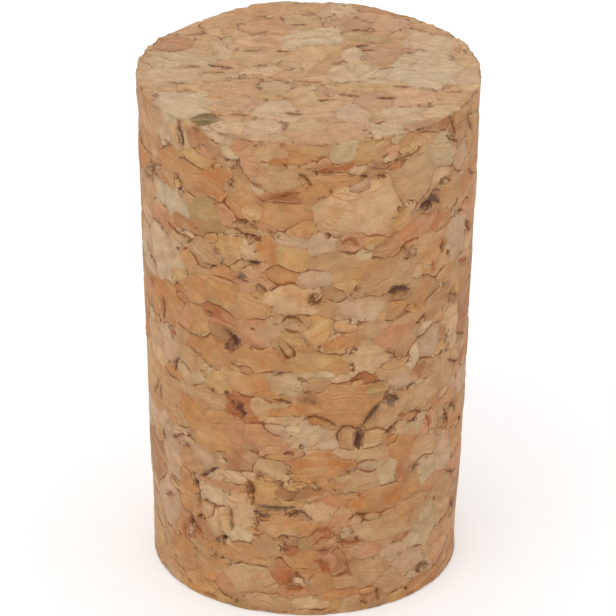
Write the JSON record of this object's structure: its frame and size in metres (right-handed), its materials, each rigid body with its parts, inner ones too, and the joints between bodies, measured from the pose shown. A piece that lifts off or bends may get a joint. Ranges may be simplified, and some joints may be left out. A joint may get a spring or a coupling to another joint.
{
  "type": "cork stopper",
  "caption": "Tapered bottle stopper pressed from cork granules and ground to crisp rims, with open crevices between the granules and a crumbled stretch of the wide rim.",
  "frame": {"origin": "centre of the narrow end, on the surface that it stands on", "axes": "+Z along the stopper from the narrow end to the wide end, -Y towards the side that the picture shows, +X to the right of it"},
  "size_m": [0.024, 0.024, 0.037],
  "materials": {
    "agglomerated_cork": "matt, ground pressed cork granules"
  },
  "bodies": {
    "root": {"stopper": "agglomerated_cork"}
  },
  "joints": []
}
